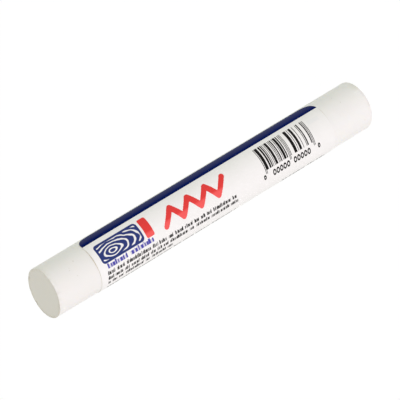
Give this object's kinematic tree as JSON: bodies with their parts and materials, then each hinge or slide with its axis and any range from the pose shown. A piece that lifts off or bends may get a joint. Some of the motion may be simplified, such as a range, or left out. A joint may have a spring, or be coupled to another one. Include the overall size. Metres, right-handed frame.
{
  "type": "furniture repair wax stick",
  "caption": "Round stick of off-white filler wax with a slightly slanted chopped end and a wrapped white label with a navy edge band, for rubbing into scratches in furniture.",
  "frame": {"origin": "centre of the square end that the stick stands on", "axes": "+Z along the stick, towards the slanted end; the bare strip between the label's edges lies between +X and +Y"},
  "size_m": [0.0166, 0.0166, 0.1276],
  "materials": {
    "wax": "soft waxy satin, off-white",
    "adhesive": "dull tacky coat, pale tan",
    "label": "semi-gloss white label stock",
    "band_ink": "semi-gloss navy ink"
  },
  "bodies": {
    "root": {"wax_stick": "wax", "label_adhesive": "adhesive", "label_film": "label", "label_band": "band_ink"}
  },
  "joints": []
}
